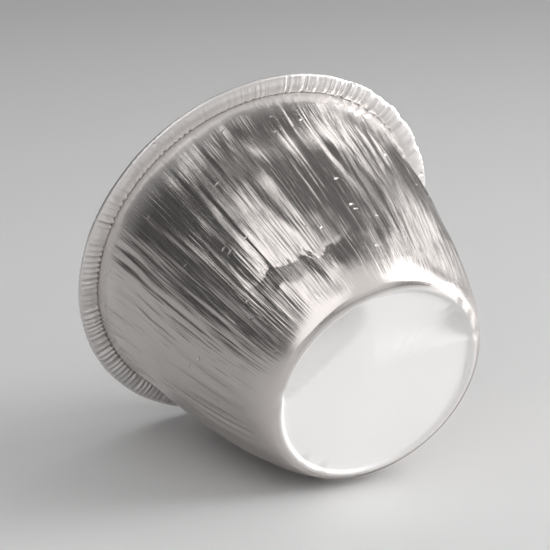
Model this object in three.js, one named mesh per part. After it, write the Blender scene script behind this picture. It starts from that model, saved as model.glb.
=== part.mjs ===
// A round foil basin for one pudding: a flat base on a shallow standing ring, a bowed wall
// gathered into uneven pleats, and a flange whose edge is turned under as a crimped hem.
// It is pressed from one sheet of thin aluminium. Sizes are in millimetres, +Z is up,
// and the standing ring lies on z = 0 with the mouth facing up.
import * as THREE from 'three';

// Driving sizes
const sheet = 0.1;
const panelRadius = 22.9;
const panelRise = 0.6;
const ringInnerRadius = 24.0;
const ringOuterRadius = 24.6;
const cornerRadius = 25.0;
const cornerHeight = 0.28;
const neckRadius = 41.3;
const neckHeight = 55.2;
const wallBow = 0.64;
const ridgeRadius = 41.55;
const flangeRise = 3.25;
const flangeCurve = 1.15;
const bendRadius = 45.5;
const bendSize = 0.6;
const hemClearance = 0.35;
const columns = 120;

// Depth of the folds, and where the largest ones lie
const pleatDepth = 0.3;
const crimpDepth = 0.22;
const creaseDepth = 0.45;
const creaseHeight = 14;
const creaseBearing = -78;
const creaseReach = 30;
const panelBend = 0.8;
const panelBendDistance = 16.3;

const degree = Math.PI / 180;

function smoothstep(low, high, value) {
  const t = Math.min(1, Math.max(0, (value - low) / (high - low)));
  return t * t * (3 - 2 * t);
}

// A soft hump: 1 at the middle, 0 from one half width away.
function hump(distance, halfWidth) {
  const t = Math.abs(distance) / halfWidth;
  return t < 1 ? 0.5 + 0.5 * Math.cos(Math.PI * t) : 0;
}

// A fixed, uneven value between 0 and 1 for each whole number.
function uneven(number) {
  const value = Math.sin(number * 12.9898 + 4.1) * 43758.5453;
  return value - Math.floor(value);
}

// The shorter way round between two bearings, in degrees.
function bearingGap(bearing, centre) {
  return ((bearing - centre + 900) % 360) - 180;
}

// Radius of the wall's bowed line at a height.
function wallRadius(height) {
  const share = Math.pow(height / neckHeight, wallBow);
  return cornerRadius + (neckRadius - cornerRadius) * share;
}

// Heights of the wall's points: two of them stand close to the crease.
function wallHeights() {
  const above = creaseHeight + 1;
  const heights = [1.1, 4, 9, creaseHeight - 1.5, above];
  for (const share of [0.18, 0.42, 0.72, 1]) heights.push(above + (neckHeight - above) * share);
  return heights;
}

// The sheet's middle line, from the base panel out to the raw edge of the hem.
function middleLine() {
  const line = [];
  const add = (part, radius, height) => line.push({ part, radius, height });
  for (const share of [0.4, 0.72, 0.9, 1]) add('panel', panelRadius * share, panelRise);
  add('ring', ringInnerRadius, sheet / 2);
  add('ring', ringOuterRadius, sheet / 2);
  add('corner', cornerRadius, cornerHeight);
  for (const height of wallHeights()) add('wall', wallRadius(height), height);
  const flangeHeight = neckHeight + flangeRise;
  for (const turn of [0, 45, 90]) {
    const radius = ridgeRadius + flangeCurve * (1 - Math.cos(turn * degree));
    add('flange', radius, flangeHeight - flangeCurve * (1 - Math.sin(turn * degree)));
  }
  for (const turn of [90, 30, -30, -90]) {
    const radius = bendRadius + bendSize * Math.cos(turn * degree);
    add('bend', radius, flangeHeight - bendSize * (1 - Math.sin(turn * degree)));
  }
  const hemEdgeRadius = ridgeRadius + hemClearance;
  add('hem', (bendRadius + hemEdgeRadius) / 2, flangeHeight - 2 * bendSize);
  add('hem', hemEdgeRadius, flangeHeight - 2 * bendSize);
  return line;
}

// Adds to each point the direction square to the line that leads to the basin's outside,
// which is inside the hem once the line has turned under.
function addOutward(line) {
  line.forEach((point, index) => {
    const before = line[Math.max(0, index - 1)];
    const after = line[Math.min(line.length - 1, index + 1)];
    const run = point.part === 'ring' ? 1 : after.radius - before.radius;
    const rise = point.part === 'ring' ? 0 : after.height - before.height;
    point.outward = { radius: rise / Math.hypot(run, rise), height: -run / Math.hypot(run, rise) };
  });
}

// The pleats of the wall fade out towards the base and the neck.
function pleat(height, column) {
  const side = column % 2 ? 1 : -1;
  const fade = smoothstep(2, 15, height) * (1 - 0.6 * smoothstep(neckHeight - 7, neckHeight, height));
  return pleatDepth * side * (0.4 + 0.6 * uneven(column)) * fade;
}

// A jagged crease runs part of the way round, a quarter of the way up the wall.
function crease(height, bearing, column) {
  const reach = hump(bearingGap(bearing, creaseBearing), creaseReach);
  const jag = 1.1 * Math.sin(12 * bearing * degree) + 1.2 * uneven(column + 7);
  const away = height - creaseHeight - jag;
  const flank = away > 0 ? 2.5 : 4.5;
  return -creaseDepth * reach * Math.max(0, 1 - Math.abs(away) / flank);
}

// Broad, shallow places where the wall has been pressed in or out by hand.
function handling(height, bearing) {
  const bulge = 0.22 * hump(bearingGap(bearing, 60), 40) * hump(height - 30, 26);
  const hollow = 0.3 * hump(bearingGap(bearing, -20), 22) * hump(height - 12, 12);
  return bulge - hollow;
}

// The hem is gathered into crimps, which the bend carries on more faintly.
function crimp(column) {
  const side = column % 2 ? 1 : -1;
  return crimpDepth * side * (0.5 + 0.5 * uneven(column + 5));
}

// The rim is a little wavy, with a row of bruises along one stretch that squeeze it in.
function bruise(bearing) {
  const bruises = [
    { centre: -28, halfWidth: 5, depth: 0.2 },
    { centre: -15, halfWidth: 3, depth: 0.3 },
    { centre: -10, halfWidth: 3, depth: 0.35 },
    { centre: -1, halfWidth: 4, depth: 0.4 },
    { centre: 11, halfWidth: 4, depth: 0.3 },
  ];
  let shift = 0.05 * Math.sin(21 * bearing * degree) * Math.cos(6 * bearing * degree + 1);
  for (const { centre, halfWidth, depth } of bruises) {
    shift += depth * hump(bearingGap(bearing, centre), halfWidth);
  }
  return shift;
}

// How far the sheet moves outwards, square to the middle line, at a point of a column.
function fold(point, bearing, column) {
  const { part, height } = point;
  if (part === 'wall') {
    return pleat(height, column) + crease(height, bearing, column) + handling(height, bearing);
  }
  if (part === 'bend') return bruise(bearing) + 0.3 * crimp(column);
  if (part === 'hem') return 0.4 * bruise(bearing) + crimp(column);
  return 0;
}

// A fold from start to end: 1 along it, falling to 0 at half a width away.
function foldLine(x, y, start, end, halfWidth) {
  const runX = end.x - start.x;
  const runY = end.y - start.y;
  const along = ((x - start.x) * runX + (y - start.y) * runY) / (runX * runX + runY * runY);
  const share = Math.min(1, Math.max(0, along));
  const away = Math.hypot(x - start.x - share * runX, y - start.y - share * runY);
  return Math.max(0, 1 - away / halfWidth) * (1 - 0.6 * share);
}

// Buckles of the base panel: how far the sheet is pushed up at a place.
function panelBuckle(x, y) {
  const wave = 0.12 * Math.sin(x * 0.16 + 0.6) * Math.cos(y * 0.19 - 0.4);
  // One side of the panel is bent up along a straight crease, from a pinch in the ring.
  const pastCrease = -y - 0.06 * x - panelBendDistance;
  const bent = Math.min(1, Math.max(0, pastCrease / 5)) * (1 - smoothstep(2, 9, x));
  // Shorter creases lie across the panel from it.
  const longCrease = foldLine(x, y, { x: 23, y: 8.5 }, { x: 12.5, y: 1 }, 2.6);
  const shortCrease = foldLine(x, y, { x: 22.4, y: -1.8 }, { x: 18.5, y: 5 }, 2.2);
  return wave + panelBend * bent + 0.45 * longCrease - 0.3 * shortCrease;
}

// The closed outline of the sheet: out along its lower face and back along its upper one.
function sheetOutline(line) {
  const onFace = (point, side) => ({ ...point, side });
  const centre = { part: 'centre', radius: 0, height: panelRise, outward: { radius: 0, height: -1 } };
  const lower = [centre, ...line].map((point) => onFace(point, 1));
  const upper = [centre, ...line].map((point) => onFace(point, -1)).reverse();
  return [...lower, ...upper];
}

// Turns the outline round +Z, then folds the turned sheet point by point.
function buildBasin() {
  const line = middleLine();
  addOutward(line);
  const outline = sheetOutline(line);
  const points = outline.map((point) => new THREE.Vector2(point.radius, point.height));
  const geometry = new THREE.LatheGeometry(points, columns);
  geometry.deleteAttribute('normal');
  geometry.deleteAttribute('uv');
  const position = geometry.getAttribute('position');
  for (let index = 0; index < position.count; index++) {
    const point = outline[index % outline.length];
    const column = Math.floor(index / outline.length) % columns;
    const angle = column / columns * 360 * degree;
    const bearing = angle / degree;
    const shift = point.side * sheet / 2 + fold(point, bearing, column);
    const radius = point.radius + point.outward.radius * shift;
    const x = radius * Math.cos(angle);
    const y = radius * Math.sin(angle);
    const onPanel = point.part === 'centre' || point.part === 'panel';
    const lift = onPanel ? panelBuckle(x, y) : 0;
    position.setXYZ(index, x, y, point.height + point.outward.height * shift + lift);
  }
  geometry.computeVertexNormals();
  return geometry;
}

const foil = new THREE.MeshStandardMaterial({ color: 0xd3d2ce, metalness: 1, roughness: 0.3 });
const basin = new THREE.Mesh(buildBasin(), foil);
basin.name = 'basin';

const group = new THREE.Group();
group.add(basin);

export default group;
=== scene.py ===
"""A foil pudding basin as a finely folded sheet of bright aluminium, lying against a pale floor.

The basin stands upright in the row frame. The floor, the lamps and the camera are tilted round it instead.
Lengths are in millimetres and angles in degrees, unless a comment says otherwise. A bearing on the basin
is counted from +X towards +Y.
"""
import math

import bpy
import numpy as np
from mathutils import Matrix, Vector


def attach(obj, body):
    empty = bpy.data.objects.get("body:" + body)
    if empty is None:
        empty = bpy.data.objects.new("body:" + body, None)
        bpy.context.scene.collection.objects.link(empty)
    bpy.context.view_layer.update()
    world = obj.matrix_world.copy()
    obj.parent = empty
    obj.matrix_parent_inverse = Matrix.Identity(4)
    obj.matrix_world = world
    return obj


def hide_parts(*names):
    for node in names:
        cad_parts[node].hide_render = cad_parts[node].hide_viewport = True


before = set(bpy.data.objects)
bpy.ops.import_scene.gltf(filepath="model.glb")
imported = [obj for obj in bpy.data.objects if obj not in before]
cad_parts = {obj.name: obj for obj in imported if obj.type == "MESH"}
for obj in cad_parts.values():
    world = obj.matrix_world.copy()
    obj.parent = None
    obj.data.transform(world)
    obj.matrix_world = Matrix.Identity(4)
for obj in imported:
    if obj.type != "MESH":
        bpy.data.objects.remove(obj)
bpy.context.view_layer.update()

MM = 0.001

# Sizes of the basin. The panel, the ring and the hem differ from the solid's by fractions of a millimetre.
SHEET = 0.1
PANEL_RADIUS = 23.5
PANEL_RISE = 0.6
RING_INNER = 24.15
RING_OUTER = 24.5
CORNER_RADIUS = 25.0
NECK_RADIUS = 41.3
NECK_HEIGHT = 55.2
WALL_BOW = 0.64
RIDGE_RADIUS = 41.55
FLANGE_HEIGHT = NECK_HEIGHT + 3.25
FLANGE_CURVE = 1.15
BEND_RADIUS = 45.5
BEND_SIZE = 0.6
HEM_CLEARANCE = 0.1
HEM_BULGE = 0.35
PLEATS = 180
CRIMPS = 96
COLUMNS = 3 * PLEATS

# Rows of the sheet from the centre outwards: radii, pairs of radius and height, heights, or turns of an arc.
PANEL_ROWS = (1.5, 4, 7, 9.5, 12, 14, 15.6, 16.8, 18, 19.2, 20.6, 22.0, 23.1)
PANEL_EDGE = (PANEL_RADIUS, PANEL_RISE - 0.03)
SLOPE_ROWS = ((PANEL_RADIUS + 0.2, 0.42), (RING_INNER - 0.15, 0.16))
RING_ROWS = ((RING_INNER, SHEET / 2), (RING_OUTER, SHEET / 2))
CORNER_ROWS = ((RING_OUTER + 0.22, 0.1), (CORNER_RADIUS, 0.28))
CORNER_END = 0.6
LOW_WALL_ROWS = np.arange(1.1, 10, 1.25)
CREASE_ROWS = np.arange(10.4, 18.2, 0.5)
HIGH_WALL_ROWS = np.linspace(18.8, NECK_HEIGHT, 21)
NECK_TUCK = 0.08
FLANGE_TURNS = (0, 22, 45, 68, 90)
BEND_TURNS = (90, 65, 40, 15, -15, -40, -65)
HEM_SHARES = (0.12, 0.27, 0.42, 0.57, 0.72, 0.86, 1.0)

# How far the pleats wander round the wall: reach, cells round it, cells up it, seed, and whether sharply.
WANDERS = ((0.9, 40, 4, 5, False), (0.35, 150, 7, 6, False))

# The heights between which the pleats set in, where they begin to fade, and how much is gone at the neck.
PLEAT_START = (2, 14)
PLEAT_FADE = 50
PLEAT_LOSS = 0.8

# The same for the layers that reach further down.
LOW_START = (0.5, 8)
LOW_FADE = 52
LOW_LOSS = 0.7

# Layers of the wall's folds: depth, cells round it, cells up it, seed, and whether their lines are sharp.
PLEAT_LAYERS = ((0.26, PLEATS, 3, 11, True), (0.26, PLEATS // 2, 4, 12, True), (0.05, PLEATS, 12, 14, True))
LOW_LAYERS = ((0.12, 48, 3, 13, False), (0.03, 90, 20, 15, True))

# The smoother stretch of wall round the crease: bearing, half width, height, half height, and its share.
CALM_STRETCH = (-80, 40, 14, 18)
CALM_SHARE = 0.75

# The crease in the wall: bearing and height along it, and how far it runs to each side of its middle.
# Patterns give the cells round the basin and the seed of what is uneven.
CREASE_LINE = ((-100, 16.8), (-92, 17.1), (-87, 15.4), (-79, 14.9), (-73, 12.9), (-65, 13.4), (-57, 14.2))
CREASE_MIDDLE = -81
CREASE_REACH = (12, 27)
CREASE_JAG = 0.7
JAG_PATTERN = (100, 21)
CREASE_DEPTH = 0.6
CREASE_RISE = 9
CREASE_DROP = 5.2
CREASE_DROP_CHANGE = 2.4
LIP_DEPTH = 0.3
LIP_RISE = 1.1
LIP_PATTERN = (120, 22)
LIP_ONSET = (-0.3, 0.5)
WEDGE_DEPTH = 0.8
WEDGE_DROP = 10
WEDGE_PATTERN = (66, 17)

# Broad places where the wall is pressed out or in: bearing, half width, height, half height, depth.
HANDLING = ((60, 40, 30, 26, 0.22), (-20, 22, 12, 12, -0.3))

# The wall is drawn in below the flange, so that it flares out above: height, half height, depth.
FLARE = (46.5, 9.5, 0.4)

# Bruises of the rim: bearing, half width, depth. It is a little wavy as well, and the hem takes a share.
RIM_BRUISES = ((-28, 5, 0.2), (-15, 3, 0.3), (-10, 3, 0.35), (-1, 4, 0.4), (11, 4, 0.3))
RIM_WAVE_DEPTH = 0.05
RIM_WAVES = 21
RIM_WAVE_CHANGES = 6
RIM_WAVE_START = 1
HEM_BRUISE_SHARE = 0.4

# Scallops of the hem, which are deep along one stretch: bearing and half width. Their sizes are uneven.
SCALLOP_DEPTH = 0.5
SCALLOP_SIZE = 0.7
SCALLOP_SIZE_CHANGE = 0.5
SCALLOP_PATTERN = (CRIMPS, 31)
SCALLOP_MEAN = 0.64
SCALLOP_STRETCH = (2, 55)
SCALLOP_REST = 0.15

# Fine gathers of the hem, which set in to each side of a bearing.
GATHER_DEPTH = 0.42
GATHER_PATTERN = (PLEATS, 32)
GATHER_MIDDLE = -20
GATHER_START = (50, 110)
GATHER_REST = 0.25
GATHER_GAIN = 0.85

# The share of the hem's crimps that the bend takes, and a stretch where it takes more: bearing, half width,
# and what is added.
BEND_CRIMP_SHARE = 0.1
ROUGH_BEND = (-10, 75, 0.35)

# The base panel is a little wavy: depth, and for each axis how fast it waves and where it starts.
PANEL_WAVE_DEPTH = 0.12
PANEL_WAVE_X = (0.16, 0.6)
PANEL_WAVE_Y = (0.19, -0.4)

# One side of the panel is bent up: height, distance from the centre, slant, width, and where it fades out.
PANEL_BEND = 2.9
PANEL_BEND_DISTANCE = 16.3
PANEL_BEND_SLANT = 0.06
PANEL_BEND_WIDTH = 4.2
PANEL_BEND_FADE = (0, 9)

# Shorter creases of the panel: height, start, end, and width to the left and to the right.
PANEL_FOLDS = (
    (2.5, (25.6, 5.8), (4.5, -9.5), 6.0, 5.0),
    (0.6, (22.4, -1.6), (18.5, -3.5), 2.5, 1.0),
    (0.6, (23.3, 2.0), (20.0, 1.0), 1.0, 2.5),
)

# Knocks in the standing ring: place, half width, depth.
RING_KINKS = (
    (-17.2, -17.6, 2.6, 0.5),
    (24.2, -2.4, 2.0, 0.45),
    (24.0, 3.0, 2.0, 0.5),
    (23.0, 8.8, 2.0, 0.5),
    (-24.1, 2.4, 2.2, 0.4),
    (-22.6, 8.6, 2.4, 0.4),
)

# The wall is bright foil and the base panel is satin. The rim lies between the two. Each finish gives way
# to the next between two radii. The wall's colour is darker than the foil's own: painted shade that keeps
# its reflections dim. The satin colour is lighter: partly its finish, partly a painted highlight on the
# panel, the rim and the top of the wall below the flange.
FOIL_AND_PAINTED_SHADE_COLOUR = (0.64, 0.6, 0.58, 1)
SATIN_AND_PAINTED_HIGHLIGHT_COLOUR = (0.86, 0.85, 0.84, 1)
BRIGHT_ROUGHNESS = 0.26
SATIN_ROUGHNESS = 0.45
BRIGHT_METALLIC = 1.0
SATIN_METALLIC = 0.2
RIM_SATIN_AND_HIGHLIGHT_SHARE = 0.42
PANEL_SATIN_AND_HIGHLIGHT_END = (23.8, 25.4)
RIM_SATIN_AND_HIGHLIGHT_START = (39.6, 41.6)

# The finest relief, which is bump: streaks up the wall, grain, and small dents. It sets in above the base.
# Scales are the noise textures' own, and the sizes of dents are shares of their cells.
BUMP_DEPTH = 0.2
BUMP_START = (1.5, 6)
STREAK_SCALE = 52.0
STREAK_DETAIL = 3.0
STREAK_RISE = 1.1
GRAIN_SCALE = 500.0
GRAIN_DETAIL = 1.0
GRAIN_SHARE = 0.1
NOISE_ROUGHNESS = 0.5
DENT_SCALE = 170.0
DENT_SIZE = 0.15
DENT_DEPTH = 2.0
DENT_FLATNESS = 1.8

# Where the photograph was taken from: the camera looks at a point near the basin's axis from below.
AIM_HEIGHT = 46.9
AIM_SIDE = -1.3
CAMERA_DISTANCE = 514.0
CAMERA_ELEVATION = -45.35
CAMERA_ROLL = -41.5
FIELD_OF_VIEW = 14.25
CLIP_START = 10
CLIP_END = 50000

# The floor: the bearing of the rim's point that lies on it, and how far its upward direction rises above
# the basin's level. The rim's crimps stand out past its bend by the allowance.
FLOOR_BEARING = 133.0
FLOOR_SLOPE = 17.5
FLOOR_HALF_WIDTH = 6000
FLOOR_GREY = (0.7, 0.7, 0.7, 1)
FLOOR_ROUGHNESS = 0.5
CRIMP_ALLOWANCE = 0.15

# The room's even light, and a broad pale wall in it: its direction in the row frame and how far it spreads.
ROOM_RADIANCE = 0.065
GLOW_RADIANCE = 0.95
GLOW_DIRECTION = (0.683, -0.683, -0.259)
GLOW_CORE = 13
GLOW_EDGE = 30

# Soft lamps: name, bearing, elevation, width and height in metres, radiance, and how widely they shine.
# Their bearings are counted from straight ahead of the camera to the right, and elevations from the floor.
LAMPS = (
    ("right_softbox", 88, 38, 0.7, 0.7, 2.6, 180),
    ("back_softbox", -25, 60, 1.0, 0.2, 2.6, 180),
    ("far_right_softbox", 25, 42, 0.3, 0.16, 4.0, 180),
    ("front_softbox", -165, 27, 0.65, 0.95, 1.5, 180),
    ("front_left_softbox", -131, 55, 0.42, 0.55, 1.7, 180),
    ("right_back_strip", 42, 18, 0.2, 0.4, 2.4, 180),
    ("low_right_softbox", 76, 5, 0.45, 0.3, 38.0, 60),
    ("front_right_softbox", 142, 20, 0.75, 0.6, 0.75, 180),
)
LAMP_AIM_HEIGHT = 30


def smoothstep(low, high, value):
    t = np.clip((value - low) / (high - low), 0, 1)
    return t * t * (3 - 2 * t)


def hump(distance, half_width):
    """1 at the middle, 0 from one half width away."""
    t = np.clip(np.abs(distance) / half_width, 0, 1)
    return 0.5 + 0.5 * np.cos(math.pi * t)


def bearing_gap(bearing, centre):
    """The shorter way round between two bearings."""
    return (bearing - centre + 900) % 360 - 180


def crinkle(turn, along, cells, rows, seed, sharp=True):
    """Uneven folds between -1 and 1. turn is 0 to 1 round the basin and along is 0 to 1 up the sheet.

    Folds are straight between their lines when sharp, and rounded otherwise.
    """
    table = np.random.default_rng(seed).uniform(-1, 1, (rows + 2, cells))
    u = turn * cells
    v = np.clip(along, 0, 1) * rows
    u_cell = np.floor(u).astype(int)
    v_cell = np.floor(v).astype(int)
    u_part = u - u_cell
    v_part = v - v_cell
    if not sharp:
        u_part = u_part * u_part * (3 - 2 * u_part)
    v_part = v_part * v_part * (3 - 2 * v_part)
    left = u_cell % cells
    right = (u_cell + 1) % cells
    low = table[v_cell, left] * (1 - u_part) + table[v_cell, right] * u_part
    high = table[v_cell + 1, left] * (1 - u_part) + table[v_cell + 1, right] * u_part
    return low * (1 - v_part) + high * v_part


def uneven(turn, cells, seed):
    """An uneven value between -1 and 1 that changes round the basin only."""
    return crinkle(turn, 0 * turn, cells, 1, seed)


def arc(centre_radius, top_height, size, side, turns):
    """Points of an arc whose top lies at a height, on one side (1 outer, -1 inner) of its centre."""
    angles = [math.radians(turn) for turn in turns]
    radii = [centre_radius + side * size * math.cos(angle) for angle in angles]
    heights = [top_height - size * (1 - math.sin(angle)) for angle in angles]
    return list(zip(radii, heights))


def wall_radius(height):
    return CORNER_RADIUS + (NECK_RADIUS - CORNER_RADIUS) * (height / NECK_HEIGHT) ** WALL_BOW


def hem_rows():
    """The hem leads back under the flange, sagging between the bend and its raw edge."""
    end_radius = RIDGE_RADIUS + HEM_CLEARANCE
    for share in HEM_SHARES:
        radius = BEND_RADIUS + share * (end_radius - BEND_RADIUS)
        yield radius, FLANGE_HEIGHT - 2 * BEND_SIZE - HEM_BULGE * math.sin(math.pi * share)


def middle_line():
    """The sheet's middle line as rows of part, radius and height, from the centre to the raw edge."""
    wall_heights = np.concatenate((LOW_WALL_ROWS, CREASE_ROWS, HIGH_WALL_ROWS))
    ridge_height = FLANGE_HEIGHT - FLANGE_CURVE
    curve_radius = RIDGE_RADIUS + FLANGE_CURVE
    stretches = (
        ("panel", [(radius, PANEL_RISE) for radius in PANEL_ROWS] + [PANEL_EDGE]),
        ("slope", SLOPE_ROWS),
        ("ring", RING_ROWS),
        ("corner", CORNER_ROWS + ((wall_radius(CORNER_END), CORNER_END),)),
        ("wall", [(wall_radius(height), height) for height in wall_heights]),
        ("neck", [(RIDGE_RADIUS - NECK_TUCK, (NECK_HEIGHT + ridge_height) / 2)]),
        ("flange", arc(curve_radius, FLANGE_HEIGHT, FLANGE_CURVE, -1, FLANGE_TURNS)),
        ("flange", [((curve_radius + BEND_RADIUS) / 2, FLANGE_HEIGHT)]),
        ("bend", arc(BEND_RADIUS, FLANGE_HEIGHT, BEND_SIZE, 1, BEND_TURNS)),
        ("hem", hem_rows()),
    )
    return [(part, radius, height) for part, points in stretches for radius, height in points]


def outward_directions(radius, height):
    """Unit directions square to the middle line that lead to the basin's outside."""
    run = np.gradient(radius)
    rise = np.gradient(height)
    length = np.hypot(run, rise)
    return rise / length, -run / length


def layered_folds(turn, share, layers):
    """The sum of several layers of uneven folds."""
    folds = 0
    for depth, cells, rows, seed, sharp in layers:
        folds = folds + depth * crinkle(turn, share, cells, rows, seed, sharp)
    return folds


def wall_folds(turn, share, height, bearing):
    """The wall's pleats: long sharp folds over broad ones, with short cross wrinkles."""
    middle, half_width, middle_height, half_height = CALM_STRETCH
    calm = hump(bearing_gap(bearing, middle), half_width) * hump(height - middle_height, half_height)
    fade = smoothstep(*PLEAT_START, height) * (1 - PLEAT_LOSS * smoothstep(PLEAT_FADE, NECK_HEIGHT, height))
    low_fade = smoothstep(*LOW_START, height) * (1 - LOW_LOSS * smoothstep(LOW_FADE, NECK_HEIGHT, height))
    pleats = layered_folds(turn, share, PLEAT_LAYERS) * fade * (1 - CALM_SHARE * calm)
    return pleats + layered_folds(turn, share, LOW_LAYERS) * low_fade


def crease(turn, height, bearing):
    """A jagged step part of the way round: pale lips over wedges of uneven depth that run down from it."""
    reach = 1 - smoothstep(*CREASE_REACH, np.abs(bearing_gap(bearing, CREASE_MIDDLE)))
    line = np.interp(bearing_gap(bearing, 0), *zip(*CREASE_LINE))
    away = height - line - CREASE_JAG * uneven(turn, *JAG_PATTERN)
    lip = LIP_DEPTH * smoothstep(*LIP_ONSET, uneven(turn, *LIP_PATTERN)) * reach
    above = CREASE_DEPTH * np.clip(1 - away / CREASE_RISE, 0, 1) + lip * np.clip(1 - away / LIP_RISE, 0, 1)
    wedge = uneven(turn, *WEDGE_PATTERN)
    drop = CREASE_DROP + CREASE_DROP_CHANGE * wedge
    below = (CREASE_DEPTH + lip) * np.clip(1 + away / drop, 0, 1)
    below = below + WEDGE_DEPTH * wedge * np.clip(1 + away / WEDGE_DROP, 0, 1)
    return -reach * np.where(away > 0, above, below)


def handling(height, bearing):
    """Broad, shallow places where the wall has been pressed, and its flare below the flange."""
    flare_height, flare_half_height, flare_depth = FLARE
    shift = -flare_depth * hump(height - flare_height, flare_half_height)
    for middle, half_width, middle_height, half_height, depth in HANDLING:
        place = hump(bearing_gap(bearing, middle), half_width) * hump(height - middle_height, half_height)
        shift = shift + depth * place
    return shift


def rim_bruises(bearing):
    """A little waviness, and a row of bruises along one stretch that squeeze the rim in."""
    angle = np.radians(bearing)
    shift = RIM_WAVE_DEPTH * np.sin(RIM_WAVES * angle) * np.cos(RIM_WAVE_CHANGES * angle + RIM_WAVE_START)
    for centre, half_width, depth in RIM_BRUISES:
        shift = shift + depth * hump(bearing_gap(bearing, centre), half_width)
    return shift


def hem_crimps(turn, bearing):
    """Scallops across the hem, rounded between sharp edges, which turn into fine gathers further round."""
    middle, half_width = SCALLOP_STRETCH
    size = SCALLOP_SIZE + SCALLOP_SIZE_CHANGE * uneven(turn, *SCALLOP_PATTERN)
    share = SCALLOP_REST + (1 - SCALLOP_REST) * hump(bearing_gap(bearing, middle), half_width)
    rounded = SCALLOP_MEAN - np.abs(np.sin(math.pi * CRIMPS * turn))
    scallops = SCALLOP_DEPTH * size * rounded * share
    away = np.abs(bearing_gap(bearing, GATHER_MIDDLE))
    gathers = GATHER_DEPTH * (1 + uneven(turn, *GATHER_PATTERN)) * np.cos(2 * math.pi * PLEATS * turn)
    return scallops + gathers * (GATHER_REST + GATHER_GAIN * smoothstep(*GATHER_START, away))


def fold_line(x, y, start, end, left_width, right_width):
    """A fold that is 1 along its line and 0 at a width to each side, lower towards its end."""
    run_x, run_y = end[0] - start[0], end[1] - start[1]
    from_x, from_y = x - start[0], y - start[1]
    share = np.clip((from_x * run_x + from_y * run_y) / (run_x * run_x + run_y * run_y), 0, 1)
    away = np.hypot(from_x - share * run_x, from_y - share * run_y)
    on_left = run_x * from_y - run_y * from_x > 0
    width = np.where(on_left, left_width, right_width)
    return np.clip(1 - away / width, 0, 1) * (1 - share)


def panel_buckle(x, y):
    """How far the base panel is pushed up at a place."""
    (rate_x, start_x), (rate_y, start_y) = PANEL_WAVE_X, PANEL_WAVE_Y
    rise = PANEL_WAVE_DEPTH * np.sin(x * rate_x + start_x) * np.cos(y * rate_y + start_y)
    past_bend = -PANEL_BEND_DISTANCE - y - PANEL_BEND_SLANT * x
    bent = np.clip(past_bend / PANEL_BEND_WIDTH, 0, 1) * (1 - smoothstep(*PANEL_BEND_FADE, x))
    rise = rise + PANEL_BEND * bent
    for height, *fold in PANEL_FOLDS:
        rise = rise + height * fold_line(x, y, *fold)
    return rise


def ring_kinks(x, y):
    """Small knocks that lift the standing ring off the plane it rests on."""
    rise = 0 * x
    for centre_x, centre_y, half_width, depth in RING_KINKS:
        rise = rise + depth * hump(np.hypot(x - centre_x, y - centre_y), half_width)
    return rise


def outward_shift(part, even_turn, share, height, bearing):
    """How far the sheet is folded outwards, square to its middle line."""
    on_wall = part == "wall"
    on_bend = part == "bend"
    on_hem = part == "hem"
    wall = wall_folds(even_turn, share, height, bearing) + crease(even_turn, height, bearing)
    wall = wall + handling(height, bearing)
    middle, half_width, gain = ROUGH_BEND
    bend_share = BEND_CRIMP_SHARE + gain * hump(bearing_gap(bearing, middle), half_width)
    crimps = hem_crimps(even_turn, bearing)
    bruises = rim_bruises(bearing)
    bend = bruises + bend_share * crimps
    hem = HEM_BRUISE_SHARE * bruises + crimps
    return np.select([on_wall, on_bend, on_hem], [wall, bend, hem], 0.0)


def sheet_points():
    """Grids of places on the folded sheet's middle, and of the outward directions there before folding."""
    line = middle_line()
    part = np.array([row[0] for row in line])[:, None]
    line_radius = np.array([row[1] for row in line])
    line_height = np.array([row[2] for row in line])
    out_radius, out_height = (way[:, None] for way in outward_directions(line_radius, line_height))
    even_turn, height = np.meshgrid(np.arange(COLUMNS) / COLUMNS, line_height)
    share = np.clip(height / NECK_HEIGHT, 0, 1)
    wander = layered_folds(even_turn, share, WANDERS)
    turn = even_turn + wander / 360 * smoothstep(*PLEAT_START, height)
    shift = outward_shift(part, even_turn, share, height, turn * 360)
    radius = line_radius[:, None] + out_radius * shift
    height = height + out_height * shift
    cosine, sine = np.cos(2 * math.pi * turn), np.sin(2 * math.pi * turn)
    x, y = radius * cosine, radius * sine
    on_panel = (part == "panel") | (part == "slope")
    at_base = on_panel | (part == "ring") | (part == "corner")
    panel_share = np.clip((height - SHEET / 2) / (PANEL_RISE - SHEET / 2), 0, 1)
    height = height + np.where(on_panel, panel_share * panel_buckle(x, y), 0)
    height = height + np.where(at_base, ring_kinks(x, y), 0)
    outward = (out_radius * cosine, out_radius * sine, out_height + 0 * turn)
    return np.stack((x, y, height), axis=2), np.stack(outward, axis=2)


def sheet_faces(rows):
    """Faces of the closed sheet, whose points are its lower face, its upper face and the two centres."""
    here = np.arange(COLUMNS)
    after = (here + 1) % COLUMNS
    quads = []
    fans = []
    for side in (0, 1):
        start = side * rows * COLUMNS
        centre = np.full(COLUMNS, 2 * rows * COLUMNS + side)
        for inner in range(start, start + (rows - 1) * COLUMNS, COLUMNS):
            outer = inner + COLUMNS
            quad = np.stack((inner + here, outer + here, outer + after, inner + after), axis=1)
            quads.append(quad if side else quad[:, ::-1])
        fan = np.stack((centre, start + here, start + after), axis=1)
        fans.append(fan if side else fan[:, ::-1])
    lower_edge = (rows - 1) * COLUMNS
    upper_edge = lower_edge + rows * COLUMNS
    raw_edge = (upper_edge + here, lower_edge + here, lower_edge + after, upper_edge + after)
    quads.append(np.stack(raw_edge, axis=1))
    return np.concatenate(quads).tolist() + np.concatenate(fans).tolist()


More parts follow.
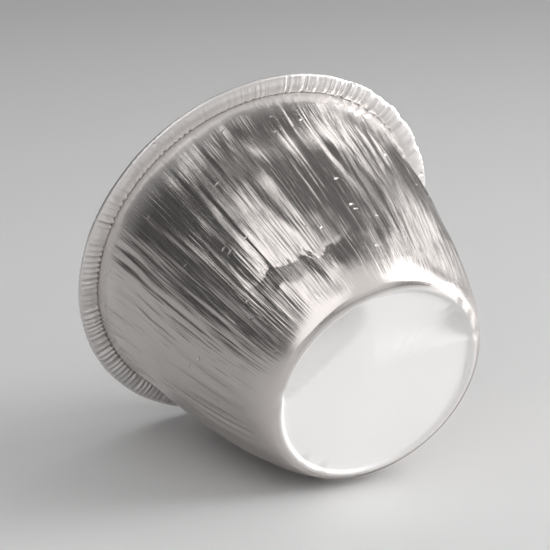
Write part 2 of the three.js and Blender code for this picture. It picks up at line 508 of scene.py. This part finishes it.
def closed_sheet(name):
    """The sheet as one closed mesh: its lower face, its upper face and the raw edge."""
    middle, outward = sheet_points()
    centre_height = PANEL_RISE + float(panel_buckle(np.array(0.0), np.array(0.0)))
    centres = [[0, 0, centre_height - SHEET / 2], [0, 0, centre_height + SHEET / 2]]
    sides = [(middle + side * SHEET * outward).reshape(-1, 3) for side in (0.5, -0.5)]
    vertices = np.concatenate(sides + [np.array(centres)]) * MM
    mesh = bpy.data.meshes.new(name)
    mesh.from_pydata(vertices.tolist(), [], sheet_faces(middle.shape[0]))
    mesh.validate()
    for polygon in mesh.polygons:
        polygon.use_smooth = True
    mesh.update()
    piece = bpy.data.objects.new(name, mesh)
    bpy.context.scene.collection.objects.link(piece)
    return piece


def node_tree(owner):
    """Turns on the nodes of a material or world and returns their tree."""
    owner.use_nodes = True
    return owner.node_tree


def set_input(tree, socket, value):
    """Gives a socket a value, or links it to another node's output."""
    if isinstance(value, bpy.types.NodeSocket):
        tree.links.new(value, socket)
    else:
        socket.default_value = value


def node(tree, kind, inputs=None, **settings):
    """A new node of the tree. inputs gives its sockets, by name or number, their values or links."""
    made = tree.nodes.new("ShaderNode" + kind)
    for name, setting in settings.items():
        setattr(made, name, setting)
    for key, value in (inputs or {}).items():
        set_input(tree, made.inputs[key], value)
    return made


def ramp(tree, value, start, end, low=0.0, high=1.0, **settings):
    """Goes from low to high while the value goes from start to end, and stays level past them."""
    limits = {"From Min": start, "From Max": end, "To Min": low, "To Max": high}
    return node(tree, "MapRange", {"Value": value, **limits}, **settings).outputs["Result"]


def noise(tree, place, scale, detail):
    """Soft noise between 0 and 1."""
    inputs = {"Vector": place, "Scale": scale, "Detail": detail, "Roughness": NOISE_ROUGHNESS}
    return node(tree, "TexNoise", inputs).outputs["Fac"]


def foil_relief(tree, place, split, flat):
    """Streaks that run up the wall, with a fine grain and a few small dents."""
    round_way = node(tree, "VectorMath", {0: flat}, operation="NORMALIZE")
    rise = node(tree, "Math", {0: split.outputs["Z"], 1: STREAK_RISE}, operation="MULTIPLY")
    up_way = node(tree, "CombineXYZ", {"Z": rise.outputs[0]})
    way = node(tree, "VectorMath", {0: round_way.outputs[0], 1: up_way.outputs[0]}, operation="ADD")
    streaks = noise(tree, way.outputs[0], STREAK_SCALE, STREAK_DETAIL)
    grain = noise(tree, place, GRAIN_SCALE, GRAIN_DETAIL)
    lines = node(tree, "Math", {0: grain, 1: GRAIN_SHARE, 2: streaks}, operation="MULTIPLY_ADD")
    flatten = node(tree, "VectorMath", {0: place, 1: (1.0, 1.0, DENT_FLATNESS)}, operation="MULTIPLY")
    dent_inputs = {"Vector": flatten.outputs[0], "Scale": DENT_SCALE}
    dents = node(tree, "TexVoronoi", dent_inputs, distance="MANHATTAN").outputs["Distance"]
    dent = ramp(tree, dents, 0.0, DENT_SIZE, -DENT_DEPTH, 0.0)
    dented = node(tree, "Math", {0: lines.outputs[0], 1: dent}, operation="ADD")
    above_base = ramp(tree, split.outputs["Z"], BUMP_START[0] * MM, BUMP_START[1] * MM)
    return node(tree, "Math", {0: dented.outputs[0], 1: above_base}, operation="MULTIPLY").outputs[0]


def foil_material():
    """Bright foil that turns rough, less metallic and pale on the base panel, and part of the way there on
    the rim.

    The wall's darker colour is painted shade; the paleness is partly a finish and partly a painted
    highlight.
    """
    material = bpy.data.materials.new("foil")
    tree = node_tree(material)
    place = node(tree, "TexCoord").outputs["Object"]
    split = node(tree, "SeparateXYZ", {0: place})
    flat = node(tree, "CombineXYZ", {"X": split.outputs["X"], "Y": split.outputs["Y"]}).outputs[0]
    radius = node(tree, "VectorMath", {0: flat}, operation="LENGTH").outputs["Value"]
    relief = foil_relief(tree, place, split, flat)
    bump = node(tree, "Bump", {"Strength": 1.0, "Distance": BUMP_DEPTH * MM, "Height": relief})
    panel_start, panel_end = (edge * MM for edge in PANEL_SATIN_AND_HIGHLIGHT_END)
    rim_start, rim_end = (edge * MM for edge in RIM_SATIN_AND_HIGHLIGHT_START)
    # Where the panel and rim shares rise, the colour turns lighter: partly the finish, partly a painted
    # highlight.
    on_panel = ramp(tree, radius, panel_start, panel_end, 1.0, 0.0)
    on_rim = ramp(tree, radius, rim_start, rim_end, 0.0, RIM_SATIN_AND_HIGHLIGHT_SHARE, interpolation_type="SMOOTHSTEP")
    satin_and_highlight = node(tree, "Math", {0: on_panel, 1: on_rim}, operation="ADD").outputs[0]
    # A Mix node's colours are its inputs 6 and 7, and its mixed colour is output 2. The first is darkened
    # as painted shade, and the second is lightened as a painted highlight.
    colours = {"Factor": satin_and_highlight, 6: FOIL_AND_PAINTED_SHADE_COLOUR, 7: SATIN_AND_PAINTED_HIGHLIGHT_COLOUR}
    colour = node(tree, "Mix", colours, data_type="RGBA").outputs[2]
    shader = tree.nodes["Principled BSDF"]
    for socket, value in (
        ("Base Color", colour),
        ("Roughness", ramp(tree, on_panel, 0.0, 1.0, BRIGHT_ROUGHNESS, SATIN_ROUGHNESS)),
        ("Metallic", ramp(tree, satin_and_highlight, 0.0, 1.0, BRIGHT_METALLIC, SATIN_METALLIC)),
        ("Normal", bump.outputs["Normal"]),
    ):
        set_input(tree, shader.inputs[socket], value)
    return material


def floor_direction():
    """The way up from the floor of the photograph, in the row frame."""
    slope = math.radians(FLOOR_SLOPE)
    bearing = math.radians(FLOOR_BEARING)
    level = -math.cos(slope)
    return Vector((level * math.cos(bearing), level * math.sin(bearing), math.sin(slope)))


def floor_touch():
    """The point where the crimped rim lies on the floor, in metres."""
    bearing = math.radians(FLOOR_BEARING)
    slope = math.radians(FLOOR_SLOPE)
    reach = BEND_SIZE + CRIMP_ALLOWANCE
    radius = BEND_RADIUS + reach * math.cos(slope)
    height = FLANGE_HEIGHT - BEND_SIZE - reach * math.sin(slope)
    return Vector((radius * math.cos(bearing), radius * math.sin(bearing), height)) * MM


def floor_material():
    """Pale from above, and clear from below."""
    material = bpy.data.materials.new("floor")
    tree = node_tree(material)
    pale = tree.nodes["Principled BSDF"]
    pale.inputs["Base Color"].default_value = FLOOR_GREY
    pale.inputs["Roughness"].default_value = FLOOR_ROUGHNESS
    below = node(tree, "NewGeometry").outputs["Backfacing"]
    clear = node(tree, "BsdfTransparent")
    mix = node(tree, "MixShader", {0: below, 1: pale.outputs[0], 2: clear.outputs[0]})
    set_input(tree, tree.nodes["Material Output"].inputs["Surface"], mix.outputs[0])
    return material


def make_floor():
    """A pale floor that can be seen, and that throws shade, from above only."""
    half = FLOOR_HALF_WIDTH * MM
    mesh = bpy.data.meshes.new("floor")
    corners = [(-half, -half, 0), (half, -half, 0), (half, half, 0), (-half, half, 0)]
    mesh.from_pydata(corners, [], [(0, 1, 2, 3)])
    mesh.materials.append(floor_material())
    floor = bpy.data.objects.new("floor", mesh)
    bpy.context.scene.collection.objects.link(floor)
    lean = floor_direction().to_track_quat("Z", "Y").to_matrix().to_4x4()
    floor.matrix_world = Matrix.Translation(floor_touch()) @ lean


def make_world():
    """Dim even light, with one broad pale glow."""
    world = bpy.data.worlds.new("studio")
    tree = node_tree(world)
    background = tree.nodes["Background"]
    background.inputs["Color"].default_value = (1, 1, 1, 1)
    towards = {0: node(tree, "TexCoord").outputs["Generated"], 1: Vector(GLOW_DIRECTION).normalized()}
    nearness = node(tree, "VectorMath", towards, operation="DOT_PRODUCT").outputs["Value"]
    edge, core = (math.cos(math.radians(angle)) for angle in (GLOW_EDGE, GLOW_CORE))
    glow = ramp(tree, nearness, edge, core, ROOM_RADIANCE, GLOW_RADIANCE, interpolation_type="SMOOTHSTEP")
    set_input(tree, background.inputs["Strength"], glow)
    bpy.context.scene.world = world


def camera_axes():
    """The camera's right, up and back directions in the row frame."""
    elevation = math.radians(CAMERA_ELEVATION)
    back = Vector((0, -math.cos(elevation), math.sin(elevation)))
    level = Vector((1, 0, 0))
    rise = back.cross(level)
    roll = math.radians(CAMERA_ROLL)
    right = level * math.cos(roll) + rise * math.sin(roll)
    return right, back.cross(right), back


def place_with_axes(thing, place, axes):
    """Puts an object at a place in metres, with its own axes along three directions."""
    bpy.context.scene.collection.objects.link(thing)
    thing.matrix_world = Matrix.Translation(place) @ Matrix(axes).transposed().to_4x4()


def make_camera():
    axes = camera_axes()
    data = bpy.data.cameras.new("camera")
    data.sensor_fit = "HORIZONTAL"
    data.angle = math.radians(FIELD_OF_VIEW)
    data.clip_start = CLIP_START * MM
    data.clip_end = CLIP_END * MM
    camera = bpy.data.objects.new("camera", data)
    aim = Vector((AIM_SIDE, 0, AIM_HEIGHT)) * MM
    place_with_axes(camera, aim + axes[2] * CAMERA_DISTANCE * MM, axes)
    bpy.context.scene.camera = camera


def make_lamp(name, bearing, elevation, width, height, radiance, spread):
    """A soft lamp a metre away, facing the basin. Its radiance is 1 where its reflection is white."""
    up = floor_direction()
    camera_back = camera_axes()[2]
    ahead = (-camera_back + up * camera_back.dot(up)).normalized()
    right = ahead.cross(up)
    turn, rise = math.radians(bearing), math.radians(elevation)
    level = ahead * math.cos(turn) + right * math.sin(turn)
    offset = level * math.cos(rise) + up * math.sin(rise)
    data = bpy.data.lights.new(name, "AREA")
    data.shape = "RECTANGLE"
    data.size = width
    data.size_y = height
    data.energy = radiance * width * height * math.pi
    if spread < 180:
        # A lamp that shines into a narrower cone is as bright along its middle with less power.
        half_spread = math.radians(spread / 2)
        data.spread = 2 * half_spread
        data.energy *= 1 - half_spread / math.tan(half_spread)
    across = up.cross(offset).normalized()
    place = Vector((0, 0, LAMP_AIM_HEIGHT * MM)) + offset
    place_with_axes(bpy.data.objects.new(name, data), place, (across, offset.cross(across), offset))


bpy.context.scene.view_settings.view_transform = "Standard"
make_camera()
basin = closed_sheet("basin_foil")
basin.data.materials.append(foil_material())
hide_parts("basin")
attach(basin, "root")
make_floor()
make_world()
for lamp in LAMPS:
    make_lamp(*lamp)
